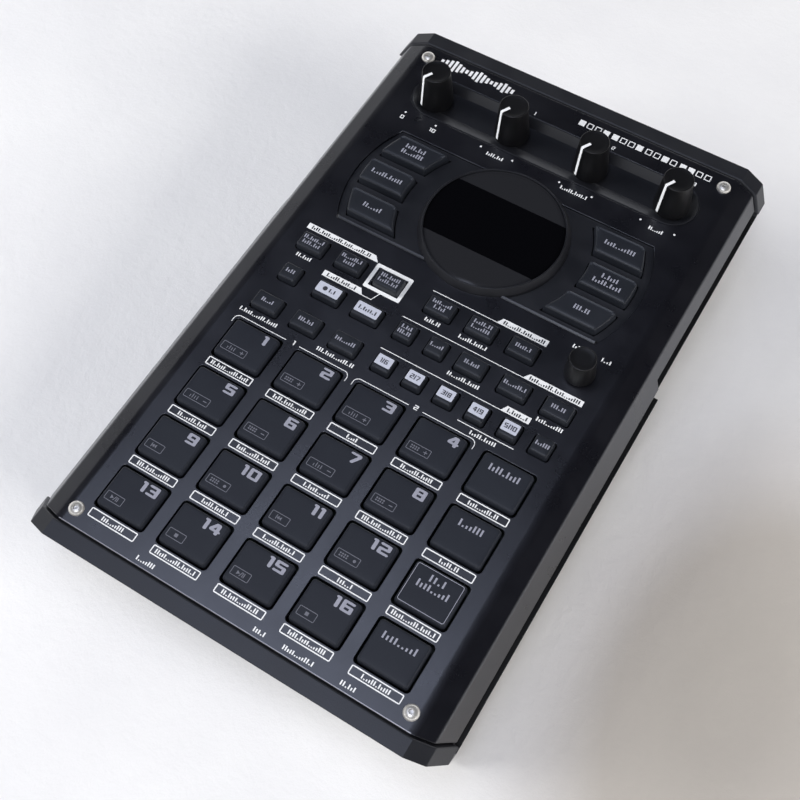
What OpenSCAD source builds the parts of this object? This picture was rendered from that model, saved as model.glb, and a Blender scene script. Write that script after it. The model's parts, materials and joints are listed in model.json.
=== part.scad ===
// Desktop drum machine: wedge case with a folded sheet top, pads, keys, display and knobs.
// Frame: origin at the bottom centre, +X right, +Y to the rear, +Z up, millimetres.
// Panel frame: x right, s up the slope from the front top edge, z off the panel face.

/* [Body] */
// overall length, front edge to rear edge
body_l = 275.8; // [270:0.2:335]
// overall width
body_w = 177.5; // [174:0.5:215]
// slope of the top panel in degrees
tilt = 4.5; // [3.5:0.1:6]
// height of the front top edge above the table
front_h = 35; // [34:0.5:45]
// height of the feet
foot_h = 2.5; // [2:0.1:4]
// wall thickness of the plastic parts
wall = 2.2; // [1.8:0.1:2.6]
// thickness of the floor
floor_t = 2.8; // [2.6:0.1:3.5]

/* [Folded top] */
// thickness of the folded sheet
sheet = 1.2; // [1:0.1:1.4]
// width of both side facets together
facet_run = 13.35; // [12:0.05:15]
// width of the steep outer facet
steep_run = 5.45; // [4.5:0.05:6.5]
// drop of the shallow facet
shallow_drop = 3; // [2:0.1:3.6]
// drop of the whole folded side
side_drop = 11.8; // [10:0.1:13]
// setback of the sheet's fold inside the caps' fold
fold_inset = 1.1; // [0.6:0.1:1.5]
// place along the panel where the hem steps up
hem_step_s = 170.7; // [160:0.1:185]
// height of that step
hem_rise = 3.05; // [2:0.05:4]

/* [End caps] */
// depth of the front lip along the panel
front_lip = 7; // [5:0.1:8]
// depth of the rear lip along the panel
rear_lip = 6.85; // [5:0.05:8]
// seam between the front cap and the sheet
front_seam = 0.85; // [0.6:0.05:1.6]
// seam between the rear cap and the sheet
rear_seam = 0.9; // [0.6:0.05:1.6]
// undercut of the front lip, run per drop
front_rake = 0.65; // [0.4:0.05:0.75]
// undercut of the rear lip, run per drop
rear_rake = 0.5; // [0.4:0.05:0.6]
// setback of the front wall under the lip
front_wall_in = 14; // [12:0.5:14.5]
// setback of the rear wall under the lip
rear_wall_in = 8; // [7:0.5:9]
// depth of the recessed band under the hem
band = 3.5; // [2.5:0.1:4]

/* [Pads] */
// distance between pad columns
col_pitch = 27.75; // [27:0.05:30]
// distance between pad rows
row_pitch = 24.2; // [23.8:0.05:24.6]
// centre of the first pad row
pad_s = 27.85; // [27.6:0.05:28.2]
// width of a pad
pad_w = 20.4; // [18:0.1:21]
// depth of a pad
pad_d = 17.1; // [15:0.1:17.4]
// height of a pad over the panel
pad_h = 1.9; // [1.5:0.1:3]
// gap around a pad
pad_gap = 0.85; // [0.5:0.05:1]
// press travel of pads and keys
travel = 0.8; // [0.5:0.1:0.9]

/* [Small keys] */
// depth of a small key
key_d = 7.9; // [7:0.1:8.4]
// width of a wide key
key_w = 11.9; // [10:0.1:12.4]
// width of a narrow key
key_n = 8; // [7:0.1:8.6]
// height of a small key over the panel
key_h = 2.8; // [2:0.1:3.5]
// gap around a small key
key_gap = 0.42; // [0.35:0.01:0.6]
// distance between key rows
key_pitch = 16.15; // [15.5:0.05:16.5]
// centre of the first key row
key_s = 120.6; // [120:0.1:121.5]

/* [Display and effect keys] */
// centre of the display along the panel
disp_s = 195.7; // [195.2:0.1:196.4]
// radius of the bezel at the panel
bezel_r = 31; // [30.6:0.1:32]
// radius of the opening in the bezel
glass_r = 28.8; // [28:0.1:29]
// height of the bezel
bezel_h = 3.2; // [2.8:0.1:4]
// half depth of the effect recess
wing_hd = 26; // [25.6:0.1:26.3]
// radius of the outer ends of the recess
wing_r = 54.1; // [53:0.1:55]
// offset of the centres of those ends
wing_x = 11.3; // [10.5:0.1:12]
// depth of the effect recess
wing_z = 0.8; // [0.6:0.05:1.1]
// inner radius of the effect keys
fx_in = 40.4; // [40:0.1:41]
// outer radius of the effect keys
fx_out = 50.4; // [49:0.1:50.8]
// depth of an effect key
fx_d = 11.85; // [10:0.05:12.2]
// distance between effect keys
fx_pitch = 16.5; // [16.2:0.05:16.6]
// height of the effect keys over the panel
fx_h = 3; // [2:0.1:3.5]

/* [Knobs] */
// place of the knob row along the panel
knob_s = 244.3; // [243.9:0.1:244.6]
// distance between knobs
knob_pitch = 37.1; // [34:0.1:37.3]
// radius of a knob at its base
knob_r = 7.55; // [6:0.05:8]
// radius of a knob at its top
knob_top_r = 6.1; // [5:0.05:6.3]
// height of a knob over the panel
knob_h = 16.4; // [12:0.1:18]
// radius of the trough's ends
trough_r = 11.15; // [10.6:0.05:11.4]
// centre of the trough along the panel
trough_s = 244.9; // [244.6:0.1:245.2]
// depth of the trough
trough_z = 3.6; // [3:0.1:4]
// place of the value knob across the panel
value_x = 59.6; // [58.5:0.1:60.5]
// place of the value knob along the panel
value_s = 155.2; // [154.6:0.1:155.6]
// radius of the value knob at its base
value_r = 6.1; // [5:0.05:6.2]
// height of the value knob
value_h = 12; // [9:0.1:14]
// radius of the control shafts
shaft_r = 3; // [2.5:0.1:3.1]
// radial running clearance of the shafts
run_fit = 0.06; // [0.03:0.01:0.09]

/* [Sockets] */
// radius of the bore of a 6.3 mm socket
jack_r = 3.25; // [3.2:0.01:3.3]
// radius of the bore of a 3.5 mm socket
mini_r = 1.8; // [1.78:0.01:1.85]
// depth of the 6.3 mm bores
jack_bore = 24; // [20:0.5:26]
// depth of the 3.5 mm bores
mini_bore = 14; // [12:0.5:15]
// length of the battery compartment
bay_l = 90; // [80:1:96]
// radius of a foot
foot_r = 7; // [6:0.5:9]

/* [Hidden] */
$fn = 64;
hw = body_w / 2;
panel_l = body_l / cos(tilt);
flat_hw = hw - facet_run;
case_drop = side_drop + 4;
rear_drop = side_drop - hem_rise + 1;
board_z = sheet + 4.5 + travel;
board_t = 1.6;
deck_z = trough_z + 1.5;
pot_z = deck_z + 6;
plate_z = sheet + 2;
fx_flange = plate_z + 0.3;
glass_z = bezel_h - 1.9;
steep = atan((side_drop - shallow_drop) / steep_run);
shallow = atan(shallow_drop / (facet_run - steep_run));
front_y = -body_l / 2 + front_wall_in;
rear_y = body_l / 2 - rear_wall_in;
floor_z = foot_h + floor_t;
jack_z = foot_h + 11;
rear_z = foot_h + 16.2;
hinge_y = -12;
hinge_z = foot_h + 1.6;
bay_d = 61;
screw_x = flat_hw - 4.9;
screw_s = 14.05;
rear_screw_s = panel_l - screw_s;
pad_x = [for (i = [-2:2]) i * col_pitch];
row_s = [for (j = [0:3]) pad_s + j * row_pitch];
key_row = [for (j = [0:2]) key_s + j * key_pitch];
knob_x = [for (i = [-1.5, -0.5, 0.5, 1.5]) i * knob_pitch];
phones_x = -31;
mini_x = -47;
gain_x = 11.8;
select_x = 29.9;
input_x = 47.9;
line_x = [-64, -45, -24, -5];
midi_x = [15, 27];
usb_x = 40;
dc_x = 52.4;
power_x = 66;
boss_x = 66;
far_x = 77;
post_x = 72;
knob_post_x = 75;

// keys of each cluster: place across, row, width
pattern_keys = [[-59.4, 2, key_w], [-41.4, 2, key_w], [-23.4, 2, key_w]];
delete_keys = [[-59.4, 1, key_n]];
record_keys = [[-41.4, 1, key_w], [-23.4, 1, key_w]];
tool_keys = [[-59.4, 0, key_w], [-41.4, 0, key_w], [-23.4, 0, key_w]];
edit_keys = [[0.15, 2, key_w], [18.4, 2, key_w], [36.5, 2, key_w]];
mode_keys = [[-6.1, 1, key_n], [7.8, 1, key_n], [23.1, 1, key_w], [41.7, 1, key_w], [60, 1, key_w]];
bank_keys = [for (i = [0:4]) [-5.9 + 13.63 * i, 0, key_n]];
shift_keys = [[62, 0, key_n]];
all_keys = concat(tool_keys, delete_keys, record_keys, pattern_keys, edit_keys, mode_keys,
                  bank_keys, shift_keys);

black = [0.09, 0.09, 0.10];
satin = [0.13, 0.135, 0.15];
silicone = [0.17, 0.17, 0.19];
board_green = [0.06, 0.22, 0.13];
steel = [0.74, 0.74, 0.76];

// ---------- helpers ----------

// places children, drawn in the panel frame, on the slope
module on_panel() {
  translate([0, -body_l / 2, front_h]) rotate([tilt, 0, 0]) children();
}

// extrudes an (x, z) outline along the slope
module along_s(s0, s1) {
  translate([0, s1, 0]) rotate([90, 0, 0]) linear_extrude(s1 - s0) children();
}

// extrudes an (s, z) outline across the panel
module across_x(x0, x1) {
  translate([x0, 0, 0]) rotate([90, 0, 90]) linear_extrude(x1 - x0) children();
}

// rectangle with round corners, centred
module round_rect(w, d, r) {
  square([w - 2 * r, d], center = true);
  square([w, d - 2 * r], center = true);
  for (x = [-1, 1], y = [-1, 1])
    translate([x * (w / 2 - r), y * (d / 2 - r)]) circle(r, $fn = 24);
}

// block with round upright edges between two heights
module round_block(w, d, r, z0, z1) {
  translate([0, 0, z0]) linear_extrude(z1 - z0) round_rect(w, d, r);
}

// key cap: round upright edges and a chamfer round the top
module key_cap(w, d, r, z0, z1, ch) {
  intersection() {
    round_block(w, d, r, z0, z1);
    across_x(-w, w) cap_outline(d, z0, z1, ch);
    along_s(-d, d) cap_outline(w, z0, z1, ch);
  }
}

module cap_outline(w, z0, z1, ch) {
  polygon([[-w / 2, z0], [w / 2, z0], [w / 2, z1 - ch], [w / 2 - ch, z1], [ch - w / 2, z1],
           [-w / 2, z1 - ch]]);
}

// slab under a key that the panel holds in
module retainer(w, d, z0, z1) {
  translate([-w / 2, -d / 2, z0]) cube([w, d, z1 - z0]);
}

// stadium outline with its ends on the outer knobs
module stadium(r) {
  square([2 * knob_x[3], 2 * r], center = true);
  for (x = [knob_x[0], knob_x[3]]) translate([x, 0]) circle(r);
}

// closed outline from the points of its right half
function both(p) = concat(p, [for (i = [len(p) - 1:-1:0]) [-p[i][0], p[i][1]]]);

// right half of the folded outline, set in and cut at a drop
function fold(inset, drop) = [
  [flat_hw - inset, 0],
  [hw - steep_run - inset, -shallow_drop],
  [hw - inset - (side_drop - drop) / tan(steep), -drop]];

// point moved in from a bend between two slopes by the sheet thickness
function inward(p, a, b) = p - sheet / cos((b - a) / 2) * [sin((a + b) / 2), cos((a + b) / 2)];

// right half of the inner face of the sheet, run on below the hem
function fold_inside(drop) =
  let (o = fold(fold_inset, drop), p = inward(o[0], 0, shallow), q = inward(o[1], shallow, steep))
  [p, q, [q[0] + (q[1] + drop + 1) / tan(steep), -drop - 1]];

// room above the table, from a height upwards
module above(z) {
  translate([-hw - 5, -body_l, z]) cube([body_w + 10, 2 * body_l, 150]);
}

// outer faces of the case: shoulder at a height and half width, upstand over it
module case_outline(w, z, up) {
  polygon(both([[w - band, z + up], [w - band, z], [w, z], [w - 5.2, z - 52]]));
}

// ---------- case ----------

module panel_hole(x, s, w, d, r) {
  translate([x, s, 0]) round_block(w, d, r, -sheet - 1, 1);
}

// outline of the effect recess, grown by g
module wing_outline(g) {
  intersection() {
    square([2 * (wing_x + wing_r + g), 2 * (wing_hd + g)], center = true);
    union() {
      for (x = [-wing_x, wing_x]) translate([x, 0]) circle(wing_r + g, $fn = 96);
      square([2 * wing_x, 2 * (wing_hd + g)], center = true);
    }
  }
}

module top_panel() color(satin) on_panel() difference() {
  along_s(0, panel_l) difference() {
    polygon(both(fold(fold_inset, side_drop - 0.3)));
    polygon(both(fold_inside(side_drop - 0.3)));
  }
  // raked front and rear edges
  across_x(-hw, hw) polygon([[-9, 2], [front_lip + front_seam - 2 * front_rake, 2],
    [front_lip + front_seam + (side_drop + 3) * front_rake, -side_drop - 3],
    [-9, -side_drop - 3]]);
  across_x(-hw, hw) polygon([[panel_l + 9, 2], [panel_l - rear_lip - rear_seam + 2 * rear_rake, 2],
    [panel_l - rear_lip - rear_seam - (side_drop + 3) * rear_rake, -side_drop - 3],
    [panel_l + 9, -side_drop - 3]]);
  // raised hem of the rear part
  across_x(-hw, hw) polygon([[hem_step_s - 2.5, -side_drop - 3], [hem_step_s, -side_drop],
    [hem_step_s + 2, hem_rise - side_drop + 0.3], [panel_l + 5, hem_rise - side_drop + 0.3],
    [panel_l + 5, -side_drop - 3]]);
  for (x = pad_x, s = row_s) panel_hole(x, s, pad_w + 2 * pad_gap, pad_d + 2 * pad_gap, 1.6);
  for (k = all_keys)
    panel_hole(k[0], key_row[k[1]], k[2] + 2 * key_gap, key_d + 2 * key_gap, 1);
  translate([0, disp_s, -sheet - 1]) linear_extrude(sheet + 2) wing_outline(0);
  translate([0, disp_s, -sheet - 1]) cylinder(h = sheet + 2, r = bezel_r - 0.2, $fn = 96);
  translate([0, trough_s, -sheet - 1]) linear_extrude(sheet + 2) stadium(trough_r);
  translate([value_x, value_s, -sheet - 1]) cylinder(h = sheet + 2, r = shaft_r + 0.6);
  for (x = [-screw_x, screw_x], s = [screw_s, rear_screw_s])
    translate([x, s, -sheet - 1]) cylinder(h = sheet + 2, r = 1.7);
}

// cut for a socket through an end wall, centred on it
module wall_hole(x, y, z, r) {
  translate([x, y - 8, z]) rotate([-90, 0, 0]) cylinder(h = 16, r = r);
}

module cap_screw_boss(s) {
  for (x = [-screw_x, screw_x]) translate([x, s, -10]) cylinder(h = 10 - sheet, r = 3.2);
}

module front_cap() color(black) difference() {
  union() {
    on_panel() {
      intersection() {
        along_s(-1, 40) polygon(both(fold(0, side_drop)));
        across_x(-hw, hw) polygon([[0, 0], [front_lip, 0],
          [front_lip + front_rake * side_drop, -side_drop], [front_rake * side_drop, -side_drop]]);
      }
      // ledge under the front edge of the sheet
      translate([-flat_hw + fold_inset + 0.6, front_lip - 1, -sheet - 2.2])
        cube([2 * (flat_hw - fold_inset - 0.6), 11, 2.2]);
      cap_screw_boss(screw_s);
    }
    intersection() {
      translate([-hw, front_y, foot_h]) cube([body_w, wall, 30]);
      on_panel() along_s(-5, 40) case_outline(hw, -case_drop, 4.6);
    }
    for (x = [-boss_x, boss_x]) translate([x, front_y + 5.5, floor_z]) cylinder(h = 14, r = 3.4);
    for (x = [-boss_x, boss_x]) translate([x - 1, front_y + 1, floor_z]) cube([2, 4, 14]);
  }
  for (x = [-screw_x, screw_x]) on_panel() translate([x, screw_s, -9]) cylinder(h = 12, r = 1.4);
  for (x = [-boss_x, boss_x]) translate([x, front_y + 5.5, floor_z - 1]) cylinder(h = 12, r = 1.4);
  for (x = [phones_x, input_x]) wall_hole(x, front_y, jack_z, 5);
  wall_hole(mini_x, front_y, jack_z, 3.6);
  wall_hole(gain_x, front_y, jack_z, shaft_r + 0.95);
  translate([select_x - 5, front_y - 1, jack_z - 2]) cube([10, wall + 2, 4]);
}

module rear_cap() color(black) difference() {
  union() {
    on_panel() {
      intersection() {
        along_s(panel_l - 40, panel_l + 1) polygon(both(fold(0, rear_drop)));
        across_x(-hw, hw) polygon([[panel_l, 0], [panel_l - rear_lip, 0],
          [panel_l - rear_lip - rear_rake * side_drop, -side_drop],
          [panel_l - rear_rake * side_drop, -side_drop]]);
      }
      // ledge under the rear edge of the sheet
      translate([-flat_hw + fold_inset + 0.6, rear_screw_s - 3.3, -sheet - 2.2])
        cube([2 * (flat_hw - fold_inset - 0.6), 9, 2.2]);
      cap_screw_boss(rear_screw_s);
    }
    intersection() {
      translate([-hw, rear_y - wall, foot_h]) cube([body_w, wall, 60]);
      on_panel() along_s(panel_l - 40, panel_l + 20)
        case_outline(hw - 1.85, hem_rise - case_drop + 0.75, 3.9);
      on_panel() translate([-hw, panel_l - 40, -70]) cube([body_w, 60, 70 - rear_drop + 0.5]);
    }
    for (x = [-far_x, far_x]) translate([x, rear_y - wall - 3.3, floor_z]) cylinder(h = 14, r = 3.4);
    for (x = [-far_x, far_x]) translate([x - 1, rear_y - wall - 3, floor_z]) cube([2, 4, 14]);
  }
  for (x = [-screw_x, screw_x]) on_panel() translate([x, rear_screw_s, -9]) cylinder(h = 12, r = 1.4);
  for (x = [-far_x, far_x]) translate([x, rear_y - wall - 3.3, floor_z - 1]) cylinder(h = 12, r = 1.4);
  for (x = line_x) wall_hole(x, rear_y, rear_z, 5);
  for (x = midi_x) wall_hole(x, rear_y, rear_z, 3.6);
  wall_hole(dc_x, rear_y, rear_z, 4.4);
  translate([usb_x - 5.4, rear_y - wall - 1, rear_z - 2.4]) cube([10.8, wall + 2, 4.8]);
  translate([power_x - 7, rear_y - wall - 1, rear_z - 5]) cube([14, wall + 2, 10]);
}

// section of the open case: outside wall, shoulder and recessed upstand
module tub_section(w, z) {
  difference() {
    case_outline(w, z, 3.9);
    polygon(both([[w - band - wall, z + 5], [w - band - wall, z - wall], [w - wall - 0.2, z - wall],
                  [w - wall - 5.4, z - 54]]));
  }
}

module tub() {
  along_s(0, panel_l) tub_section(hw - 1.85, hem_rise - case_drop + 0.75);
  // wider front part with a raked shoulder where it ends
  difference() {
    along_s(0, hem_step_s + 3) tub_section(hw, -case_drop);
    across_x(-hw - 1, hw + 1) polygon([[hem_step_s + 2, -case_drop + 9],
      [hem_step_s - 6, -case_drop - 12], [hem_step_s - 16, -90], [hem_step_s + 30, -90],
      [hem_step_s + 30, -case_drop + 9]]);
  }
}

module post(x, s, z) {
  intersection() {
    on_panel() translate([x, s, -80]) cylinder(h = 80 - z, r = 3);
    above(floor_z - 0.5);
  }
}

module bottom_case() color(black) difference() {
  union() {
    intersection() {
      on_panel() difference() {
        tub();
        // the recessed upstand stays under the hem in the front part
        across_x(-hw - 1, hw + 1) polygon([[-1, -side_drop - 0.1], [hem_step_s - 3, -side_drop - 0.1],
          [hem_step_s - 3, 5], [-1, 5]]);
        // and clear of the rear lip
        across_x(-hw - 1, hw + 1) polygon([[panel_l - rear_lip - 0.1, 0],
          [panel_l - rear_lip - rear_rake * side_drop - 0.15, -side_drop - 0.1],
          [panel_l + 5, -side_drop - 0.1], [panel_l + 5, 0]]);
      }
      translate([-hw, front_y + wall, foot_h])
        cube([body_w, rear_y - front_y - 2 * wall, 80]);
    }
    intersection() {
      translate([-hw, front_y + wall, foot_h])
        cube([body_w, rear_y - front_y - 2 * wall, floor_t]);
      on_panel() along_s(0, panel_l) case_outline(hw - 1.85, hem_rise - case_drop + 0.75, 3.9);
    }
    for (x = [-post_x, post_x], s = [42, 108, 164]) post(x, s, board_z + board_t);
    for (x = [-post_x, post_x]) post(x, 212, board_z + board_t);
    for (x = [-knob_post_x, knob_post_x]) post(x, trough_s, pot_z + board_t);
    for (x = [-50, 50], y = [front_y + 8, front_y + 22])
      translate([x, y, floor_z - 0.5]) cylinder(h = jack_z - 7.1 - floor_z, r = 2.5);
    for (x = [-66, 66], y = [rear_y - 40, rear_y - 14])
      translate([x, y, floor_z - 0.5]) cylinder(h = rear_z - 7.1 - floor_z, r = 2.5);
    // battery compartment
    translate([-bay_l / 2 - 3, hinge_y - bay_d - 2, floor_z - 0.5])
      cube([bay_l + 6, bay_d + 6, 17.5]);
  }
  // room for the cells, opening and hinge pockets
  translate([-bay_l / 2 - 1.2, hinge_y - bay_d - 0.2, foot_h + floor_t])
    cube([bay_l + 2.4, bay_d + 2.4, 15]);
  translate([-bay_l / 2, hinge_y - bay_d + 1.5, foot_h - 1]) cube([bay_l, bay_d - 4.5, floor_t + 2]);
  for (x = [-30, 30])
    translate([x - 6, hinge_y - 4, foot_h - 1]) cube([12, 6, floor_t + 2]);
  for (x = [-boss_x, boss_x]) translate([x, front_y + 5.5, 0]) cylinder(h = 9, r = 1.6);
  for (x = [-far_x, far_x]) translate([x, rear_y - wall - 3.3, 0]) cylinder(h = 9, r = 1.6);
}

// pins of the battery door stay with the case
module case_with_pins() {
  bottom_case();
  color(black) for (x = [-30, 30])
    translate([x - 6.5, hinge_y, hinge_z]) rotate([0, 90, 0]) cylinder(h = 13, r = 1);
}

module battery_door() color(black) difference() {
  union() {
    translate([-bay_l / 2 + 0.4, hinge_y - bay_d + 1.9, foot_h])
      cube([bay_l - 0.8, bay_d - 5.3, 1.8]);
    for (x = [-30, 30]) {
      translate([x - 5.5, hinge_y - 4.5, foot_h]) cube([11, 4.5, 1.8]);
      translate([x - 5.5, hinge_y, hinge_z]) rotate([0, 90, 0]) cylinder(h = 11, r = 1.55);
    }
    // stiffening ribs on the inside
    for (x = [-30, 0, 30])
      translate([x - 1, hinge_y - bay_d + 6, foot_h + 1]) cube([2, bay_d - 16, 2]);
  }
  for (x = [-30, 30])
    translate([x - 7, hinge_y, hinge_z]) rotate([0, 90, 0]) cylinder(h = 14, r = 1 + run_fit);
  // finger notch
  translate([0, hinge_y - bay_d + 1.9, foot_h - 0.5]) cylinder(h = 1.3, r = 6);
}

// ---------- control surround, display, boards ----------

module knob_trough() difference() {
  union() {
    translate([0, trough_s, -sheet - 1.8]) linear_extrude(1.8) stadium(trough_r + 2.4);
    translate([0, trough_s, -deck_z]) linear_extrude(deck_z - 0.05) stadium(trough_r - 0.12);
  }
  // basin with a steep rear wall and a long slope at the front
  hull() {
    translate([0, trough_s, 0.2]) linear_extrude(0.01) stadium(trough_r - 0.3);
    translate([0, trough_s + 2.1, -trough_z]) linear_extrude(0.01) stadium(trough_r - 5);
  }
  for (x = knob_x) translate([x, knob_s, -deck_z - 2]) cylinder(h = deck_z + 2, r = shaft_r + 0.9);
}

// one effect key seen from above, grown by g; side is -1 or 1
module fx_outline(side, row, g) {
  intersection() {
    translate([side > 0 ? 0 : -90, (1 - row) * fx_pitch - fx_d / 2 - g])
      square([90, fx_d + 2 * g]);
    difference() {
      translate([side * wing_x, 0]) circle(fx_out + g, $fn = 96);
      circle(fx_in - g, $fn = 96);
    }
  }
}

module bezel_and_wings() {
  difference() {
    union() {
      // plate under the sheet, raised inside its opening
      difference() {
        translate([0, disp_s, -plate_z]) union() {
          linear_extrude(plate_z - sheet) wing_outline(2.2);
          linear_extrude(plate_z - wing_z) wing_outline(-0.1);
        }
        for (side = [-1, 1], row = [0:2])
          translate([0, disp_s, -9]) linear_extrude(10) fx_outline(side, row, 0.4);
      }
      // sloping front edge of the recess
      intersection() {
        translate([0, disp_s, -wing_z - 0.1]) linear_extrude(wing_z + 0.1) wing_outline(-0.12);
        across_x(-hw, hw) polygon([[disp_s - wing_hd, -0.05], [disp_s - wing_hd + 0.4, -0.05],
          [disp_s - wing_hd + 1.9, -wing_z], [disp_s - wing_hd + 1.9, -wing_z - 0.1],
          [disp_s - wing_hd, -wing_z - 0.1]]);
      }
      translate([0, disp_s, -plate_z]) cylinder(h = plate_z, r = bezel_r - 0.4, $fn = 96);
    }
    translate([0, disp_s, -9]) cylinder(h = 12, r = glass_r, $fn = 96);
  }
  translate([0, disp_s, 0]) rotate_extrude($fn = 96)
    polygon([[bezel_r, 0], [bezel_r, 0.3], [glass_r + 0.55, bezel_h], [glass_r, bezel_h],
      [glass_r, glass_z], [glass_r - 1.5, glass_z], [glass_r - 1.5, -plate_z],
      [bezel_r - 0.4, -plate_z], [bezel_r - 0.4, 0]]);
}

module control_surround() color(black) on_panel() {
  knob_trough();
  bezel_and_wings();
}

module display_window() color([0.02, 0.02, 0.03]) on_panel()
  translate([0, disp_s, glass_z]) cylinder(h = 1.5, r = glass_r - 0.05, $fn = 96);

module display_module() color([0.1, 0.1, 0.12]) on_panel() translate([0, disp_s, 0]) union() {
  intersection() {
    translate([0, 0, -board_z]) cylinder(h = board_z + glass_z, r = glass_r - 1.7, $fn = 96);
    translate([-40, -14.25, -board_z]) cube([80, 28.5, board_z + bezel_h]);
  }
}

module panel_board() color(board_green) on_panel() difference() {
  translate([-76, 22, -board_z - board_t]) cube([152, 201, board_t]);
  for (x = [-post_x, post_x], s = [42, 108, 164, 212])
    translate([x, s, -board_z - board_t - 1]) cylinder(h = board_t + 2, r = 1.1);
}

module knob_board() color(board_green) on_panel() difference() {
  translate([-78, knob_s - 10, -pot_z - board_t]) cube([156, 22, board_t]);
  for (x = [-knob_post_x, knob_post_x]) translate([x, trough_s, -pot_z - 3]) cylinder(h = 4, r = 1.1);
}

module main_board() color(board_green) {
  difference() {
    translate([-71, rear_y - wall - 46, rear_z - 7.6]) cube([142, 45.6, board_t]);
    for (x = [-66, 66], y = [rear_y - 40, rear_y - 14])
      translate([x, y, rear_z - 9]) cylinder(h = 4, r = 1.1);
  }
  difference() {
    translate([-58, front_y + wall + 0.4, jack_z - 7.6]) cube([116, 26, board_t]);
    for (x = [-50, 50], y = [front_y + 8, front_y + 22])
      translate([x, y, jack_z - 9]) cylinder(h = 4, r = 1.1);
  }
}

// pot with a bushing whose bore carries the shaft
module pot(w, h, top, reach) {
  difference() {
    union() {
      translate([-w / 2, -w / 2, 0]) cube([w, w, h]);
      translate([0, 0, h - 0.1]) cylinder(h = top - h + 0.1, r = shaft_r + 0.75);
    }
    translate([0, 0, reach]) cylinder(h = top, r = shaft_r + run_fit);
  }
}

module control_pots() color([0.55, 0.56, 0.58]) {
  on_panel() for (x = knob_x) translate([x, knob_s, -pot_z]) pot(11, 5.8, 7.1, 1.5);
  on_panel() translate([value_x, value_s, -board_z]) pot(11.6, 3.4, 4.5, 0.6);
  translate([gain_x, front_y + wall + 7, jack_z]) rotate([90, 0, 0]) pot(11.6, 7, 8.8, 2);
}

// ---------- sockets ----------

// line socket: body behind the wall, bushing in the wall, bore from the mouth
module jack(w, depth, bush, r, bore) {
  difference() {
    union() {
      translate([-w / 2, 0, -6]) cube([w, depth, 12]);
      translate([0, -wall - 0.6, 0]) rotate([-90, 0, 0]) cylinder(h = wall + 1, r = bush);
    }
    translate([0, -wall - 2, 0]) rotate([-90, 0, 0]) cylinder(h = bore + wall + 2, r = r);
  }
}

module front_sockets() color([0.12, 0.12, 0.13]) translate([0, front_y + wall, jack_z]) {
  translate([phones_x, 0, 0]) jack(14, jack_bore + 1.5, 4.9, jack_r, jack_bore - wall);
  translate([input_x, 0, 0]) jack(14, jack_bore + 1.5, 4.9, jack_r, jack_bore - wall);
  translate([mini_x, 0, 0]) jack(9, mini_bore + 1, 3.5, mini_r, mini_bore - wall);
  // body of the selector switch with its channel
  difference() {
    translate([select_x - 6.5, 0, -6]) cube([13, 7, 12]);
    translate([select_x - 5, -1, -2]) cube([10, 5, 4]);
  }
}

module rear_sockets() color([0.12, 0.12, 0.13]) translate([0, rear_y - wall, rear_z]) mirror([0, 1, 0]) {
  for (x = line_x) translate([x, 0, 0]) jack(14, jack_bore + 1.5, 4.9, jack_r, jack_bore - wall);
  for (x = midi_x) translate([x, 0, 0]) jack(9, mini_bore + 1, 3.5, mini_r, mini_bore - wall);
  // power inlet with its centre pin
  translate([dc_x, 0, 0]) {
    jack(11, 13, 4.3, 2.75, 9);
    translate([0, -wall, 0]) rotate([-90, 0, 0]) cylinder(h = wall + 9.5, r = 1);
  }
  // data socket with its tongue
  translate([usb_x, -wall, 0]) {
    difference() {
      translate([-5, 0, -2]) cube([10, 10 + wall, 4]);
      translate([-4.4, -1, -1.4]) cube([8.8, 8, 2.8]);
    }
    translate([-3.2, 2, -0.35]) cube([6.4, 6, 0.7]);
  }
  translate([usb_x - 5, 0.2, -6]) cube([10, 12, 4.1]);
  // frame of the power switch with the rocker's pin
  translate([power_x, 0, 0]) {
    difference() {
      translate([-6.9, -wall, -4.9]) cube([13.8, wall + 12, 9.8]);
      translate([-6, -wall - 1, -4]) cube([12, wall + 8, 8]);
    }
    translate([0, 0, -4.5]) cylinder(h = 9, r = 1);
    translate([-6.9, 0.2, -6]) cube([13.8, 11.8, 1.3]);
  }
}

module power_rocker() color(black) translate([power_x, rear_y - wall, rear_z]) rotate([0, 0, -7])
  difference() {
    translate([0, 0, -3.65]) linear_extrude(7.3)
      polygon([[-5.2, 1], [-5.1, 3.2], [0, 2.5], [5.1, 3.2], [5.2, 1], [1.8, -2.4], [-1.8, -2.4]]);
    translate([0, 0, -5]) cylinder(h = 10, r = 1 + run_fit);
  }

module gain_knob() color(black) translate([gain_x, front_y, jack_z]) rotate([90, 0, 0]) {
  difference() {
    union() {
      translate([0, 0, 0.5]) cylinder(h = 2.1, r1 = 4, r2 = 3.8);
      translate([0, 0, 2.5]) cylinder(h = 0.5, r1 = 3.8, r2 = 3.4);
    }
    translate([-0.4, 1, 2.5]) cube([0.8, 4, 1]);
  }
  translate([0, 0, -6.6]) cylinder(h = 7.3, r = shaft_r);
}

module input_selector() color(black) translate([select_x - 2.5, front_y, jack_z]) union() {
  translate([-1.9, -1.8, -1.55]) cube([3.8, 6, 3.1]);
  for (x = [-1.2, 0, 1.2]) translate([x - 0.25, -2.2, -1.55]) cube([0.5, 0.6, 3.1]);
}

// ---------- fasteners and feet ----------

module rubber_feet() color([0.06, 0.06, 0.06]) {
  for (x = [-68, 68], y = [front_y + 22, rear_y - 24]) translate([x, y, 0]) union() {
    cylinder(h = 0.6, r1 = foot_r - 0.6, r2 = foot_r);
    translate([0, 0, 0.6]) cylinder(h = foot_h - 0.6, r = foot_r);
  }
}

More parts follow.
